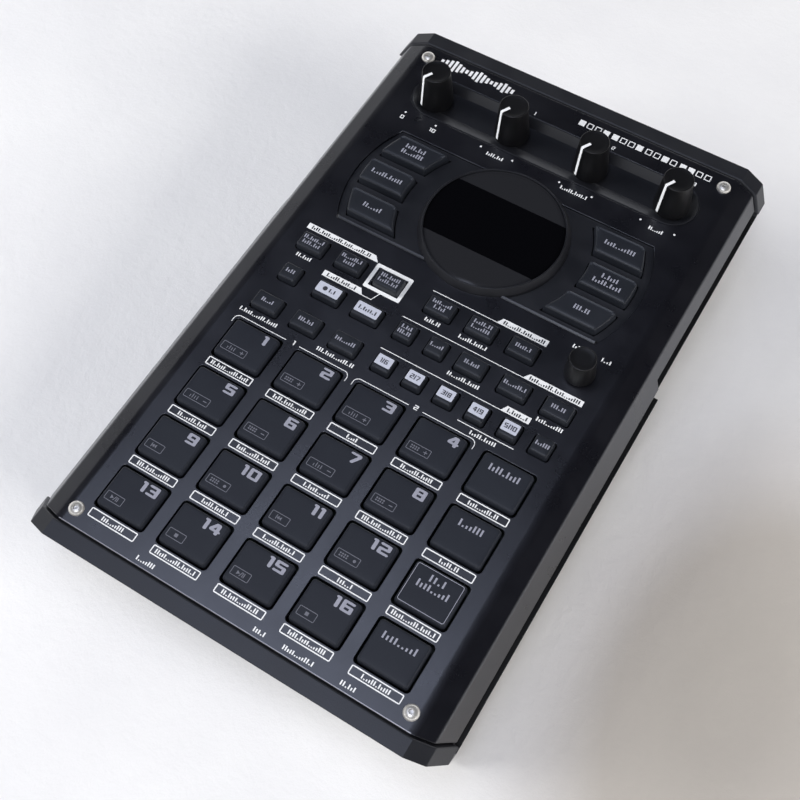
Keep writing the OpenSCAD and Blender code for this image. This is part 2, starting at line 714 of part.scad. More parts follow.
module panel_screws() color(steel) on_panel()
  for (x = [-screw_x, screw_x], s = [screw_s, rear_screw_s]) translate([x, s, 0]) difference() {
    union() {
      cylinder(h = 0.5, r = 2.75);
      translate([0, 0, 0.5]) cylinder(h = 0.7, r1 = 2.75, r2 = 1.7);
      translate([0, 0, -8.5]) cylinder(h = 9, r = 1.4);
    }
    for (a = [0, 90]) rotate([0, 0, a]) translate([-1.3, -0.25, 0.5]) cube([2.6, 0.5, 1.2]);
  }

module base_screw() difference() {
  union() {
    translate([0, 0, foot_h - 1.6]) cylinder(h = 1.6, r = 2.7);
    translate([0, 0, foot_h - 0.1]) cylinder(h = 12, r = 1.4);
  }
  for (a = [0, 90]) rotate([0, 0, a]) translate([-1.3, -0.25, foot_h - 2]) cube([2.6, 0.5, 1.2]);
}

module base_screws() color(steel) {
  for (x = [-boss_x, boss_x]) translate([x, front_y + 5.5, 0]) base_screw();
  for (x = [-far_x, far_x]) translate([x, rear_y - wall - 3.3, 0]) base_screw();
}

// ---------- pads and keys ----------

// pad or large key at a column and a row; row 0 is the front one
module pad(col, row) color(silicone) on_panel() translate([pad_x[col], row_s[row], 0]) union() {
  key_cap(pad_w, pad_d, 1.3, -sheet - 0.5, pad_h, 0.7);
  retainer(pad_w + 2.6, pad_d + 2.6, -sheet - 1.8, -sheet - 0.3);
  retainer(10, 8, -sheet - 3.4, -sheet - 1.7);
}

// cluster of small keys on one carrier
module key_group(keys) color(silicone) on_panel() union() {
  s = key_row[keys[0][1]];
  x0 = keys[0][0] - keys[0][2] / 2 - 1.2;
  x1 = keys[len(keys) - 1][0] + keys[len(keys) - 1][2] / 2 + 1.2;
  for (k = keys) translate([k[0], s, 0]) {
    key_cap(k[2], key_d, 0.7, -sheet - 0.5, key_h, 0.5);
    retainer(5, 5, -sheet - 3.4, -sheet - 1.7);
  }
  translate([x0, s - key_d / 2 - 1.2, -sheet - 1.8]) cube([x1 - x0, key_d + 2.4, 1.5]);
}

// effect key n: 1 to 3 down the left side, 4 to 6 down the right side
module fx_key(n) color(silicone) on_panel() translate([0, disp_s, 0]) union() {
  side = n < 4 ? -1 : 1;
  row = (n - 1) % 3;
  translate([0, 0, -fx_flange - 0.3]) linear_extrude(fx_flange + 0.3 + fx_h - 0.6)
    fx_outline(side, row, 0);
  translate([0, 0, fx_h - 0.65]) linear_extrude(0.65) fx_outline(side, row, -0.5);
  translate([0, 0, -fx_flange - 1.2]) linear_extrude(1.2) fx_outline(side, row, 1.1);
}

// ---------- knobs ----------

module knob(n) color(black) on_panel() translate([knob_x[n - 1], knob_s, 0]) {
  difference() {
    union() {
      translate([0, 0, -0.6]) cylinder(h = knob_h - 0.1, r1 = knob_r, r2 = knob_top_r + 0.1);
      translate([0, 0, knob_h - 0.7]) cylinder(h = 0.7, r1 = knob_top_r + 0.1, r2 = knob_top_r - 0.5);
    }
    translate([0, 0, -1]) cylinder(h = 10.5, r = shaft_r + 0.03);
  }
  translate([0, 0, 1.8 - pot_z]) cylinder(h = pot_z + 7.5, r = shaft_r);
}

module value_shaft() color(steel) on_panel() translate([value_x, value_s, -4.9])
  cylinder(h = 13, r = shaft_r);

module value_knob() color(black) on_panel() translate([value_x, value_s, 0]) difference() {
  union() {
    translate([0, 0, travel + 0.35])
      cylinder(h = value_h - travel - 0.85, r1 = value_r, r2 = value_r - 0.9);
    translate([0, 0, value_h - 0.5]) cylinder(h = 0.5, r1 = value_r - 0.9, r2 = value_r - 1.3);
  }
  translate([0, 0, -1]) cylinder(h = 9.6, r = shaft_r + run_fit);
}

top_panel();
front_cap();
rear_cap();
case_with_pins();  // bottom_case
control_surround();
display_window();
display_module();
panel_board();
knob_board();
main_board();
control_pots();
rear_sockets();
front_sockets();
rubber_feet();
panel_screws();
base_screws();
pad(0, 3);  // pad_01
pad(1, 3);  // pad_02
pad(2, 3);  // pad_03
pad(3, 3);  // pad_04
pad(0, 2);  // pad_05
pad(1, 2);  // pad_06
pad(2, 2);  // pad_07
pad(3, 2);  // pad_08
pad(0, 1);  // pad_09
pad(1, 1);  // pad_10
pad(2, 1);  // pad_11
pad(3, 1);  // pad_12
pad(0, 0);  // pad_13
pad(1, 0);  // pad_14
pad(2, 0);  // pad_15
pad(3, 0);  // pad_16
pad(4, 3);  // side_key_1
pad(4, 2);  // side_key_2
pad(4, 1);  // side_key_3
pad(4, 0);  // side_key_4
fx_key(1);  // fx_key_1
fx_key(2);  // fx_key_2
fx_key(3);  // fx_key_3
fx_key(4);  // fx_key_4
fx_key(5);  // fx_key_5
fx_key(6);  // fx_key_6
key_group(tool_keys);
key_group(delete_keys);  // delete_key
key_group(record_keys);
key_group(pattern_keys);
key_group(edit_keys);
key_group(mode_keys);
key_group(bank_keys);
key_group(shift_keys);  // shift_key
knob(1);  // knob_1
knob(2);  // knob_2
knob(3);  // knob_3
knob(4);  // knob_4
value_shaft();
value_knob();
power_rocker();
gain_knob();
input_selector();
battery_door();
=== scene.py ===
import json
import math
import bpy
import bmesh
from mathutils import Matrix, Vector


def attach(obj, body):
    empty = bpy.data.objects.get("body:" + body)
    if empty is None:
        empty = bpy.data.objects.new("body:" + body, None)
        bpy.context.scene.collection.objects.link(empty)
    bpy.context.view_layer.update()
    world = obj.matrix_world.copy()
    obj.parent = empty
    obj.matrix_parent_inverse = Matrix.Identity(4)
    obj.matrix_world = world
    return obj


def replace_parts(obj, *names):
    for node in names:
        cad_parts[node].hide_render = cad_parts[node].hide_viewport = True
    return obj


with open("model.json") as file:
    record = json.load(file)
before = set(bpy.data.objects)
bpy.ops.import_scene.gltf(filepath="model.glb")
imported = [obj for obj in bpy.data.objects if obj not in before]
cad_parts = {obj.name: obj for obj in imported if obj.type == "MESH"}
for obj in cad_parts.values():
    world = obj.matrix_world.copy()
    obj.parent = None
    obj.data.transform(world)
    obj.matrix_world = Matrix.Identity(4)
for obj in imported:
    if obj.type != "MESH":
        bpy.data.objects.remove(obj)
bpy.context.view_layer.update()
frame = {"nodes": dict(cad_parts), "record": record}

# ---------- frames ----------
# Sizes are millimetres in the panel frame: x right, s up the slope from the front top edge,
# z off the panel. PANEL turns such a point into metres in the shared frame.
TILT = math.radians(4.5)
BODY_L, FRONT_H = 275.8, 35.0
PANEL = (Matrix.Translation((0, -BODY_L / 2000, FRONT_H / 1000))
         @ Matrix.Rotation(TILT, 4, "X") @ Matrix.Scale(0.001, 4))

PAD_X = [27.75 * i for i in range(-2, 3)]
ROW_S = [27.85 + 24.2 * j for j in range(4)]
PAD_W, PAD_D, PAD_H, PAD_CORNER, PAD_EDGE = 20.4, 17.1, 1.9, 1.35, 0.85
KEY_S = [120.6 + 16.15 * j for j in range(3)]
WIDE, NARROW, KEY_D, KEY_H, KEY_CORNER, KEY_EDGE = 11.9, 8.0, 7.9, 2.8, 0.95, 0.75
PAD_DRAFT, KEY_DRAFT = 0.25, 0.35  # how far the sides lean in
KEY_FOOT, KEY_CROWN = -3.0, 0.06  # bottom of the mouldings under the panel, rise of their tops
BANK_X = [-5.9 + 13.63 * i for i in range(5)]
DISP_S = 195.7
FX_PITCH, FX_HALF_D, FX_H = 16.5, 5.925, 3.0
FX_IN, FX_OUT, FX_OUT_X = 40.4, 50.4, 11.3
KNOB_X = [37.1 * i for i in (-1.5, -0.5, 0.5, 1.5)]
KNOB_S = 244.3
VALUE_X, VALUE_S = 59.6, 155.2
SCREW_X, SCREW_S = (-70.5, 70.5), (14.05, 262.6)

PRINT_Z = 0.02  # height of the print over the face that carries it
SECOND_PRINT_Z = 0.045  # height of dark print that lies on pale print


def add_object(name, mesh):
    obj = bpy.data.objects.new(name, mesh)
    bpy.context.scene.collection.objects.link(obj)
    return obj


# ---------- materials ----------
def mat_base(name):
    """New node material: the material, its nodes and links, its shader and its object coordinates."""
    m = bpy.data.materials.new(name)
    m.use_nodes = True
    nodes, links = m.node_tree.nodes, m.node_tree.links
    coords = nodes.new("ShaderNodeTexCoord")
    return m, nodes, links, nodes["Principled BSDF"], coords.outputs["Object"]


def noise(nodes, links, vec, scale, detail, rough=0.55):
    n = nodes.new("ShaderNodeTexNoise")
    n.inputs["Scale"].default_value = scale
    n.inputs["Detail"].default_value = detail
    n.inputs["Roughness"].default_value = rough
    links.new(vec, n.inputs["Vector"])
    return n.outputs["Fac"]


def ramp(nodes, links, fac, stops):
    """Colour ramp over fac; stops are (position, colour)."""
    r = nodes.new("ShaderNodeValToRGB")
    elements = r.color_ramp.elements
    while len(elements) < len(stops):
        elements.new(0.5)
    for element, (position, color) in zip(elements, stops):
        element.position = position
        element.color = (*color, 1.0)
    links.new(fac, r.inputs["Fac"])
    return r.outputs["Color"]


def bump(nodes, links, fac, bsdf, strength, distance):
    b = nodes.new("ShaderNodeBump")
    b.inputs["Strength"].default_value = strength
    b.inputs["Distance"].default_value = distance
    links.new(fac, b.inputs["Height"])
    links.new(b.outputs["Normal"], bsdf.inputs["Normal"])


def surface(name, dark, light, rough, grain, depth, mottling=60.0, spread=0.05, metallic=0.0,
            ior=1.5, tint=(1.0, 1.0, 1.0)):
    """Finish with a slow drift of colour and roughness and a fine grain, depth metres deep."""
    m, nodes, links, bsdf, vec = mat_base(name)
    slow = noise(nodes, links, vec, mottling, 4.0)
    links.new(ramp(nodes, links, slow, [(0.3, dark), (0.7, light)]), bsdf.inputs["Base Color"])
    r = ramp(nodes, links, slow, [(0.25, (rough - spread,) * 3), (0.75, (rough + spread,) * 3)])
    links.new(r, bsdf.inputs["Roughness"])
    bsdf.inputs["Metallic"].default_value = metallic
    bsdf.inputs["IOR"].default_value = ior
    bsdf.inputs["Specular Tint"].default_value = (*tint, 1.0)
    bump(nodes, links, noise(nodes, links, vec, grain, 2.0), bsdf, 0.35, depth)
    return m


def print_ink(name, color, rough):
    """Printed ink, slightly uneven."""
    dark = tuple(c * 0.94 for c in color)
    return surface(name, dark, color, rough, 5000.0, 0.00002, 900.0, 0.03)


BLUE = (0.93, 0.95, 1.0)
MATS = {
    "panel": surface("powder_coat", (0.003, 0.003, 0.0045), (0.0045, 0.0045, 0.0065),
                     0.3, 7000.0, 0.00003, ior=1.95, tint=BLUE),
    "cap_plastic": surface("cap_grain", (0.011, 0.0115, 0.014), (0.015, 0.0155, 0.018),
                           0.4, 1900.0, 0.00012, ior=1.62, tint=BLUE),
    "case_plastic": surface("case_grain", (0.005, 0.005, 0.0055), (0.0075, 0.0075, 0.008),
                            0.5, 1700.0, 0.00015, ior=1.4),
    "bezel_plastic": surface("bezel_satin", (0.007, 0.0073, 0.009), (0.009, 0.0093, 0.0115),
                             0.42, 2600.0, 0.00005, ior=1.42, tint=BLUE),
    "surround_plastic": surface("surround_satin", (0.009, 0.0095, 0.012), (0.012, 0.0125, 0.015),
                                0.38, 2600.0, 0.00005, ior=1.7, tint=BLUE),
    "board": surface("solder_mask", (0.001, 0.006, 0.003), (0.0015, 0.009, 0.0045),
                     0.4, 400.0, 0.0001),
    "pot_metal": surface("zinc", (0.45, 0.45, 0.46), (0.6, 0.6, 0.61),
                         0.35, 900.0, 0.00005, metallic=1.0),
    "socket_plastic": surface("socket_black", (0.012, 0.012, 0.013), (0.018, 0.018, 0.02),
                              0.3, 1500.0, 0.00004),
    "foot_rubber": surface("foot_rubber", (0.012, 0.012, 0.012), (0.02, 0.02, 0.02),
                           0.8, 900.0, 0.0002),
    "screw_steel": surface("nickel", (0.68, 0.66, 0.62), (0.82, 0.8, 0.76),
                           0.36, 2400.0, 0.00003, metallic=0.82),
    "shaft_steel": surface("turned_steel", (0.5, 0.5, 0.5), (0.62, 0.62, 0.63),
                           0.3, 2400.0, 0.00003, metallic=1.0),
    "pad_silicone": surface("pad_silicone", (0.0115, 0.013, 0.0185), (0.014, 0.0162, 0.022),
                            0.48, 2200.0, 0.00008, spread=0.04, ior=1.42),
    "key_silicone": surface("key_silicone", (0.0105, 0.012, 0.016), (0.013, 0.0148, 0.0195),
                            0.4, 2200.0, 0.00006, spread=0.04, ior=1.5),
    "knob_plastic": surface("knob_satin", (0.0022, 0.0022, 0.0026), (0.0035, 0.0035, 0.004),
                            0.36, 2600.0, 0.00005),
    "door_plastic": surface("door_grain", (0.012, 0.012, 0.013), (0.017, 0.017, 0.018),
                            0.5, 1700.0, 0.00015),
    # painted highlight: pale metal for the strip that stands in for the glint along the sheet's front edge
    "painted_edge_glint": surface("painted_edge_glint", (0.24, 0.24, 0.27), (0.42, 0.42, 0.46),
                         0.35, 2400.0, 0.00002, metallic=0.6),
    "display": surface("display_film", (0.004, 0.004, 0.005), (0.006, 0.006, 0.007),
                       0.2, 900.0, 0.00002),
}
WHITE = print_ink("ink_white", (0.78, 0.79, 0.80), 0.5)
LEGEND = print_ink("ink_lavender", (0.27, 0.275, 0.33), 0.5)
DIM = print_ink("ink_dim", (0.13, 0.133, 0.16), 0.5)
PALE = print_ink("lens_pale", (0.46, 0.48, 0.56), 0.35)
DARK = print_ink("ink_dark", (0.03, 0.03, 0.038), 0.5)
KNOCK = print_ink("ink_knockout", (0.02, 0.021, 0.026), 0.5)


def window_material():
    """Smoked glass: the active band of the display shows as a darker stripe."""
    band_half = 0.0142  # metres
    m, nodes, links, bsdf, vec = mat_base("smoked_window")
    sep = nodes.new("ShaderNodeSeparateXYZ")
    links.new(vec, sep.inputs[0])
    off = nodes.new("ShaderNodeMath")
    off.operation = "SUBTRACT"
    off.inputs[1].default_value = (PANEL @ Vector((0, DISP_S, 0))).y
    links.new(sep.outputs["Y"], off.inputs[0])
    dist = nodes.new("ShaderNodeMath")
    dist.operation = "ABSOLUTE"
    links.new(off.outputs[0], dist.inputs[0])
    outside = nodes.new("ShaderNodeMath")
    outside.operation = "GREATER_THAN"
    outside.inputs[1].default_value = band_half
    links.new(dist.outputs[0], outside.inputs[0])
    links.new(ramp(nodes, links, outside.outputs[0],
                   [(0.0, (0.0015, 0.0015, 0.002)), (1.0, (0.016, 0.0165, 0.019))]),
              bsdf.inputs["Base Color"])
    bsdf.inputs["Roughness"].default_value = 0.09
    bump(nodes, links, noise(nodes, links, vec, 40.0, 2.0), bsdf, 0.05, 0.0002)
    return m


MATS["window"] = window_material()


def dress(obj, material):
    obj.data.materials.clear()
    obj.data.materials.append(material)


slots = {s["node"]: s["material_slot"] for s in frame["record"]["subparts"]}
for node, obj in frame["nodes"].items():
    dress(obj, MATS[slots[node]])


# ---------- flat print ----------
def round_ring(w, d, r, n=6):
    """Outline of a rectangle with rounded corners, round the origin."""
    pts = []
    for cx, cy, a0 in ((w / 2 - r, d / 2 - r, 0), (r - w / 2, d / 2 - r, 90),
                       (r - w / 2, r - d / 2, 180), (w / 2 - r, r - d / 2, 270)):
        for k in range(n + 1):
            a = math.radians(a0 + 90 * k / n)
            pts.append((cx + r * math.cos(a), cy + r * math.sin(a)))
    return pts


def circle(x, s, r, n):
    return [(x + r * math.cos(math.tau * k / n), s + r * math.sin(math.tau * k / n)) for k in range(n)]


# heights of the level bars that stand for words, as parts of the full height
LEVELS = (1.0, 0.62, 0.26, 1.0, 0.8, 0.45, 0.26, 0.9, 0.62, 1.0, 0.26)
# strokes of the numerals in a unit square
DIGITS = {
    "0": [[(0, 0), (1, 0), (1, 1), (0, 1), (0, 0)]],
    "1": [[(-0.25, 1), (1, 1), (1, 0)]],
    "2": [[(0, 1), (1, 1), (1, 0.52), (0, 0.48), (0, 0), (1, 0)]],
    "3": [[(0, 1), (1, 1), (1, 0), (0, 0)], [(0.3, 0.5), (1, 0.5)]],
    "4": [[(0.78, 0), (0.78, 1), (0.5, 1), (0, 0.38), (0, 0.28), (1, 0.28)]],
    "5": [[(1, 1), (0, 1), (0, 0.52), (1, 0.52), (1, 0), (0, 0)]],
    "6": [[(1, 1), (0, 1), (0, 0), (1, 0), (1, 0.52), (0, 0.52)]],
    "7": [[(0, 1), (1, 1), (1, 0.85), (0.38, 0)]],
    "8": [[(0, 0), (1, 0), (1, 1), (0, 1), (0, 0)], [(0, 0.52), (1, 0.52)]],
    "9": [[(0, 0), (1, 0), (1, 1), (0, 1), (0, 0.48), (1, 0.48)]],
    "/": [[(0, -0.05), (1, 1.05)]],
}
DIGIT_W = {"1": 0.42, "/": 0.34}
# pictograms of unit height: lines with a pen, filled shapes and discs (x, s, radius)
LINE, FILL, DISC = "line", "fill", "disc"
ICONS = {
    "back": [(FILL, [(-0.1, 0), (0.45, 0.45), (0.45, -0.45)]),
             (FILL, [(-0.65, 0), (-0.1, 0.45), (-0.1, -0.45)]),
             (LINE, [(-0.75, 0.42), (-0.75, -0.42)])],
    "play": [(FILL, [(-0.95, 0.45), (-0.2, 0), (-0.95, -0.45)]),
             (LINE, [(-0.12, -0.45), (0.22, 0.45)]),
             (LINE, [(0.5, 0.42), (0.5, -0.42)]),
             (LINE, [(0.85, 0.42), (0.85, -0.42)])],
    "stop": [(FILL, [(-0.4, -0.4), (0.4, -0.4), (0.4, 0.4), (-0.4, 0.4)])],
    "plus": [(LINE, [(-0.45, 0), (0.45, 0)]), (LINE, [(0, 0.45), (0, -0.45)])],
    "minus": [(LINE, [(-0.45, 0), (0.45, 0)])],
    "dot": [(DISC, (0, 0, 0.42))],
    "grid": [(FILL, [(a, b), (a + 0.35, b), (a + 0.35, b + 0.35), (a, b + 0.35)])
             for a in (-1.2, -0.65, -0.1, 0.45) for b in (-0.45, 0.1)],
    "bars": [(LINE, [(-0.9, -0.45), (-0.9, 0.0)]), (LINE, [(-0.3, -0.45), (-0.3, 0.45)]),
             (LINE, [(0.3, -0.45), (0.3, 0.2)]), (LINE, [(0.9, -0.45), (0.9, 0.35)])],
}
FINE_PEN = (0.22, 0.18)  # pen across and along, as parts of a numeral's height


class Ink:
    """Flat print drawn in panel millimetres and laid on a surface at height z."""

    LIFT, LIFTS = 0.001, 24  # faces lie a little over each other, so that none share a plane

    def __init__(self):
        self.points, self.faces = [], []

    def poly(self, pts):
        k = len(self.points)
        lift = self.LIFT * (len(self.faces) % self.LIFTS)
        self.points += [(p[0], p[1], lift) for p in pts]
        self.faces.append(list(range(k, k + len(pts))))

    def rect(self, x0, s0, x1, s1):
        self.poly([(x0, s0), (x1, s0), (x1, s1), (x0, s1)])

    def bar(self, p, q, t):
        """Straight line of width t from p to q, with square ends."""
        dx, ds = q[0] - p[0], q[1] - p[1]
        n = math.hypot(dx, ds) or 1.0
        ux, us = dx / n * t / 2, ds / n * t / 2
        self.poly([(p[0] - ux + us, p[1] - us - ux), (q[0] + ux + us, q[1] + us - ux),
                   (q[0] + ux - us, q[1] + us + ux), (p[0] - ux - us, p[1] - us + ux)])

    def path(self, pts, t):
        for p, q in zip(pts, pts[1:]):
            self.bar(p, q, t)

    def disc(self, x, s, r):
        self.poly(circle(x, s, r, 18))

    def arc(self, x, s, r, t, a0, a1, n):
        """Part of a ring of width t, from a0 to a1 degrees."""
        inner, outer = r - t / 2, r + t / 2
        ring = [math.radians(a0 + (a1 - a0) * k / n) for k in range(n + 1)]
        for a, b in zip(ring, ring[1:]):
            self.poly([(x + inner * math.cos(a), s + inner * math.sin(a)),
                       (x + outer * math.cos(a), s + outer * math.sin(a)),
                       (x + outer * math.cos(b), s + outer * math.sin(b)),
                       (x + inner * math.cos(b), s + inner * math.sin(b))])

    def frame(self, x, s, w, d, r, t):
        """Outline of a rounded box, t wide."""
        outer = round_ring(w, d, r)
        inner = round_ring(w - 2 * t, d - 2 * t, max(r - t, 0.05))
        n = len(outer)
        for k in range(n):
            j = (k + 1) % n
            self.poly([(x + inner[k][0], s + inner[k][1]), (x + outer[k][0], s + outer[k][1]),
                       (x + outer[j][0], s + outer[j][1]), (x + inner[j][0], s + inner[j][1])])

    def stroke(self, points, px, py):
        """Line through points with a pen px across and py along, round at every point."""
        for (ax, ay), (bx, by) in zip(points, points[1:]):
            dx, dy = (bx - ax) / px, (by - ay) / py
            n = math.hypot(dx, dy) or 1.0
            ox, oy = -dy / n * px, dx / n * py
            self.poly([(ax + ox, ay + oy), (ax - ox, ay - oy), (bx - ox, by - oy), (bx + ox, by + oy)])
        for ax, ay in points:
            self.poly([(ax + px * math.cos(math.tau * k / 12), ay + py * math.sin(math.tau * k / 12))
                       for k in range(12)])

    def digits(self, text, x, s, h, align, wide, pen, gap=0.2):
        """Wide numerals of height h; x, s is the middle of their height, in the middle or at the right."""
        widths = [DIGIT_W.get(c, 1.0) * h * wide for c in text]
        total = sum(widths) + gap * h * (len(text) - 1)
        x0 = {"middle": x - total / 2, "right": x - total}[align]
        px, py = pen[0] * h / 2, pen[1] * h / 2
        for c, w in zip(text, widths):
            for line in DIGITS[c]:
                points = [(x0 + px + a * (w - 2 * px), s - h / 2 + py + b * (h - 2 * py)) for a, b in line]
                self.stroke(points, px, py)
            x0 += w + gap * h

    def marks(self, x, s, w, h, k, pen=0.3):
        """Row of level bars, w wide and h high; k shifts the pattern."""
        n = max(2, round(w / (h * 0.56)))
        for i in range(n):
            c = LEVELS[(i * 3 + k * 5) % len(LEVELS)] if i not in (0, n - 1) else 1.0
            cx = x + (i - (n - 1) / 2) * w / n
            self.rect(cx - pen * h / 2, s - h / 2, cx + pen * h / 2, s - h / 2 + c * h)

    def icon(self, kind, x, s, h, t):
        """Small generic pictogram, h high, with lines t wide."""
        for op, shape in ICONS[kind]:
            if op == LINE:
                self.path([(x + a * h, s + b * h) for a, b in shape], t)
            elif op == FILL:
                self.poly([(x + a * h, s + b * h) for a, b in shape])
            else:
                self.disc(x + shape[0] * h, s + shape[1] * h, shape[2] * h)

    def build(self, name, z, material, body):
        mesh = bpy.data.meshes.new(name)
        mesh.from_pydata([PANEL @ Vector((p[0], p[1], z + p[2])) for p in self.points], [], self.faces)
        mesh.update()
        b = bmesh.new()
        b.from_mesh(mesh)
        up = PANEL.to_3x3() @ Vector((0, 0, 1))
        for f in b.faces:
            f.normal_update()
            if f.normal.dot(up) < 0:
                f.normal_flip()
        b.to_mesh(mesh)
        b.free()
        obj = add_object(name, mesh)
        mesh.materials.append(material)
        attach(obj, body)


# ---------- lofted pieces ----------
def loft(name, rings, material, body, nodes, angle=40, hoop=False):
    """Solid from equal rings of panel points, lowest first, with caps or, as a hoop, closed onto itself."""
    mesh = bpy.data.meshes.new(name)
    n, m = len(rings[0]), len(rings)
    faces = []
    for k in range(m if hoop else m - 1):
        for i in range(n):
            j = (i + 1) % n
            up = (k + 1) % m * n
            faces.append([k * n + i, k * n + j, up + j, up + i])
    if not hoop:
        faces.append(list(range(n))[::-1])
        faces.append([(m - 1) * n + i for i in range(n)])
    mesh.from_pydata([PANEL @ Vector(p) for r in rings for p in r], [], faces)
    mesh.update()
    mesh.shade_smooth()
    mesh.set_sharp_from_angle(angle=math.radians(angle))
    obj = add_object(name, mesh)
    dress(obj, material)
    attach(obj, body)
    if nodes:
        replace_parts(obj, *nodes)
    return obj


def turned(name, x, s, profile, material, body, nodes, n=64, angle=35, hoop=False):
    """Turned piece round x, s from a profile of (radius, z)."""
    rings = [[(a, b, z) for a, b in circle(x, s, r, n)] for r, z in profile]
    return loft(name, rings, material, body, nodes, angle, hoop)


def extruded(name, section, x0, x1, material, angle):
    """Bar of the case along x from a section of (s, z), front first."""
    rings = [[(x, s, z) for s, z in section] for x in (x0, x1)]
    return loft(name, rings, material, "case", [], angle)


def joined(name, parts):
    """Joins pieces that ride together into the first one."""
    first = parts[0]
    b = bmesh.new()
    for p in parts:
        b.from_mesh(p.data)
    b.to_mesh(first.data)
    b.free()
    for p in parts[1:]:
        bpy.data.objects.remove(p)
    first.name = name
    return first


def key_rings(x, s, w, d, r, top, edge, draft):
    """Rings of a soft-edged key: drafted sides, rounded top edge and a slight crown."""
    out = []

    def ring(inset, z):
        outline = round_ring(w - 2 * inset, d - 2 * inset, max(r - inset * 0.6, 0.25))
        out.append([(x + a, s + b, z) for a, b in outline])

    ring(0, KEY_FOOT)
    ring(0, 0.1)
    ring(draft, top - edge)
    for k in range(1, 6):
        a = math.radians(18 * k)
        ring(draft + edge * (1 - math.cos(a)), top - KEY_CROWN - edge * (1 - math.sin(a)))
    ring(draft + edge + 0.8, top - KEY_CROWN * 0.6)
    ring(draft + edge + 2.2, top)
    return out


# ---------- pads and large keys ----------
# small frame at the foot of the pads, rear row first, odd and even pads: its width and pictograms
PAD_MARKS = [[(11.0, ("bars", "plus")), (9.5, ("grid", "plus"))],
             [(11.0, ("bars", "minus")), (9.5, ("grid", "minus"))],
             [(7.6, ("back",)), (9.5, ("grid", "dot"))],
             [(7.6, ("play",)), (7.3, ("stop",))]]
PAD_MARK_X, PAD_MARK_S, PAD_MARK_D = -8.55, -4.0, 3.5  # its left edge, middle and depth
NUMBER_H, NUMBER_S, NUMBER_PEN = 4.25, 5.15, (0.33, 0.21)
NUMBER_RIGHT, FIRST_NUMBER_RIGHT = 8.1, 6.2  # right edge of a number from the pad's centre
# level marks on the large keys, rear first: rise over the key's centre and width
SIDE_MARKS = [[(3.6, 12.9)], [(3.6, 10.1)], [(4.6, 6.8), (1.2, 13.1)], [(3.6, 14.0)]]


def pad_piece(node, x, s):
    rings = key_rings(x, s, PAD_W, PAD_D, PAD_CORNER, PAD_H, PAD_EDGE, PAD_DRAFT)
    loft(node + "_moulding", rings, MATS["pad_silicone"], node, [node])


def pad_mark(ink, x, s, width, icons):
    """Frame with one or two pictograms; x is its left edge."""
    ink.frame(x + width / 2, s, width, PAD_MARK_D, 0.5, 0.24)
    if len(icons) == 2:
        ink.icon(icons[0], x + width / 2 - 1.3, s, 1.7, 0.34)
        ink.icon(icons[1], x + width - 1.9, s, 1.4, 0.34)
    else:
        ink.icon(icons[0], x + width / 2, s, 1.7, 0.32)


for n in range(1, 17):
    node = "pad_%02d" % n
    col, behind = (n - 1) % 4, (n - 1) // 4
    x, s = PAD_X[col], ROW_S[3 - behind]
    pad_piece(node, x, s)
    ink = Ink()
    right = x + (FIRST_NUMBER_RIGHT if n == 1 else NUMBER_RIGHT)
    ink.digits(str(n), right, s + NUMBER_S, NUMBER_H, "right", 1.08, NUMBER_PEN)
    ink.build(node + "_number", PAD_H + PRINT_Z, LEGEND, node)
    ink = Ink()
    pad_mark(ink, x + PAD_MARK_X, s + PAD_MARK_S, *PAD_MARKS[behind][col % 2])
    ink.build(node + "_mark", PAD_H + PRINT_Z, DIM, node)

for n in range(1, 5):
    node = "side_key_%d" % n
    x, s = PAD_X[4], ROW_S[4 - n]
    pad_piece(node, x, s)
    ink = Ink()
    for i, (ds, w) in enumerate(SIDE_MARKS[n - 1]):
        ink.marks(x, s + ds, w, 2.7, n + i, 0.26)
    if n == 3:
        ink.frame(x, s, 18.6, 15.3, 0.9, 0.22)
    ink.build(node + "_legend", PAD_H + PRINT_Z, LEGEND, node)

# ---------- small keys ----------
# node: row and keys, each with its place, its width and the widths of its rows of marks
CLUSTERS = {
    "pattern_keys": (2, [(-59.4, WIDE, (9.4, 8.2)), (-41.4, WIDE, (9.4, 5.3)), (-23.4, WIDE, (8.8, 9.0))]),
    "delete_key": (1, [(-59.4, NARROW, (4.2,))]),
    "record_keys": (1, [(-41.4, WIDE, ()), (-23.4, WIDE, ())]),
    "tool_keys": (0, [(-59.4, WIDE, (5.5,)), (-41.4, WIDE, (6.8,)), (-23.4, WIDE, (9.0,))]),
    "edit_keys": (2, [(0.15, WIDE, (8.4, 5.2)), (18.4, WIDE, (8.2, 8.2)), (36.5, WIDE, (6.9,))]),
    "mode_keys": (1, [(-6.1, NARROW, (4.8, 5.8)), (7.8, NARROW, (5.8,)), (23.1, WIDE, (6.5,)),
                      (41.7, WIDE, (9.6,)), (60.0, WIDE, (6.1,))]),
    "bank_keys": (0, [(x, NARROW, ()) for x in BANK_X]),
    "shift_key": (0, [(62.0, NARROW, (5.9,))]),
}
MARK_H = 1.75  # height of the level marks on the small keys and the panel

for q, (node, (row, keys)) in enumerate(CLUSTERS.items()):
    parts = []
    for i, (x, w, _) in enumerate(keys):
        rings = key_rings(x, KEY_S[row], w, KEY_D, KEY_CORNER, KEY_H, KEY_EDGE, KEY_DRAFT)
        parts.append(loft("%s_cap_%d" % (node, i), rings, MATS["key_silicone"], node, []))
    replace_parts(joined(node + "_moulding", parts), node)
    ink = Ink()
    for i, (x, w, rows) in enumerate(keys):
        for k, mark_w in enumerate(rows):
            ds = 0.2 if len(rows) == 1 else 1.35 - 2.4 * k
            ink.marks(x, KEY_S[row] + ds, mark_w, MARK_H, q + 3 * i + k)
    if ink.faces:
        ink.build(node + "_legend", KEY_H + PRINT_Z, LEGEND, node)

